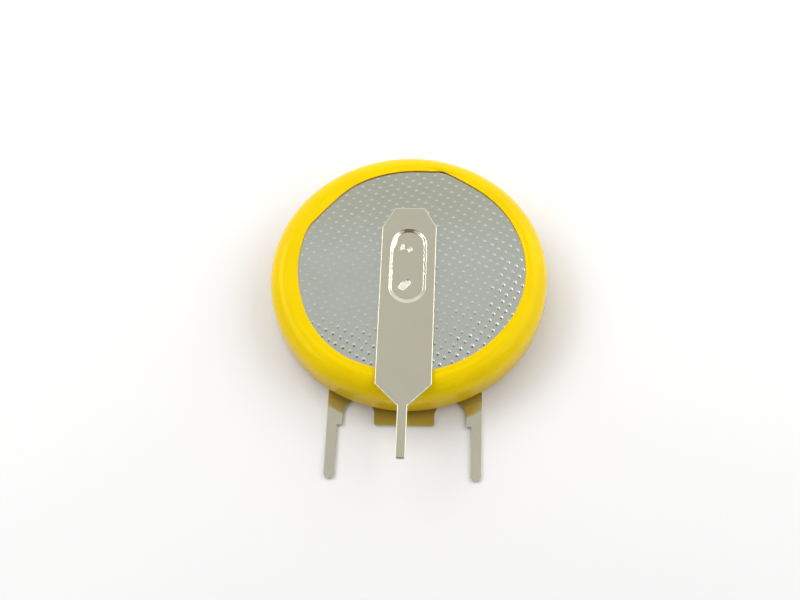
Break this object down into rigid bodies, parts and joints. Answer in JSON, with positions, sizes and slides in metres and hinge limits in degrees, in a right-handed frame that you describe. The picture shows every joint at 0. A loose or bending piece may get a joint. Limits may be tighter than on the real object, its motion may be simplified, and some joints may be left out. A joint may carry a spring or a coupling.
{
  "type": "lithium coin cell",
  "caption": "Flat round lithium cell in a shrink sleeve, with a welded sheet-metal tab on each face that ends in solder pins.",
  "frame": {"origin": "on the cell's axis, in the plane that the positive tab's outer face lies on", "axes": "+Z from the positive side to the negative side, along the cell's axis; the pins point along -Y"},
  "size_m": [0.0202, 0.0251, 0.0039],
  "materials": {
    "can_steel": "bright nickel-plated stainless steel",
    "cap_steel": "satin stainless steel with a grid of small raised dots",
    "gasket_plastic": "moulded polypropylene",
    "collector_steel": "perforated stainless sheet",
    "cathode_powder": "pressed manganese dioxide and graphite, matt",
    "separator_fleece": "polypropylene fleece",
    "lithium_metal": "soft bright metal",
    "sleeve_film": "glossy yellow shrink film",
    "tab_metal": "nickel-plated steel sheet, smooth"
  },
  "bodies": {
    "root": {"positive_can": "can_steel", "negative_cap": "cap_steel", "gasket": "gasket_plastic", "current_collector": "collector_steel", "cathode_pellet": "cathode_powder", "separator": "separator_fleece", "lithium_anode": "lithium_metal", "sleeve": "sleeve_film", "negative_tab": "tab_metal", "positive_tab": "tab_metal"}
  },
  "joints": []
}
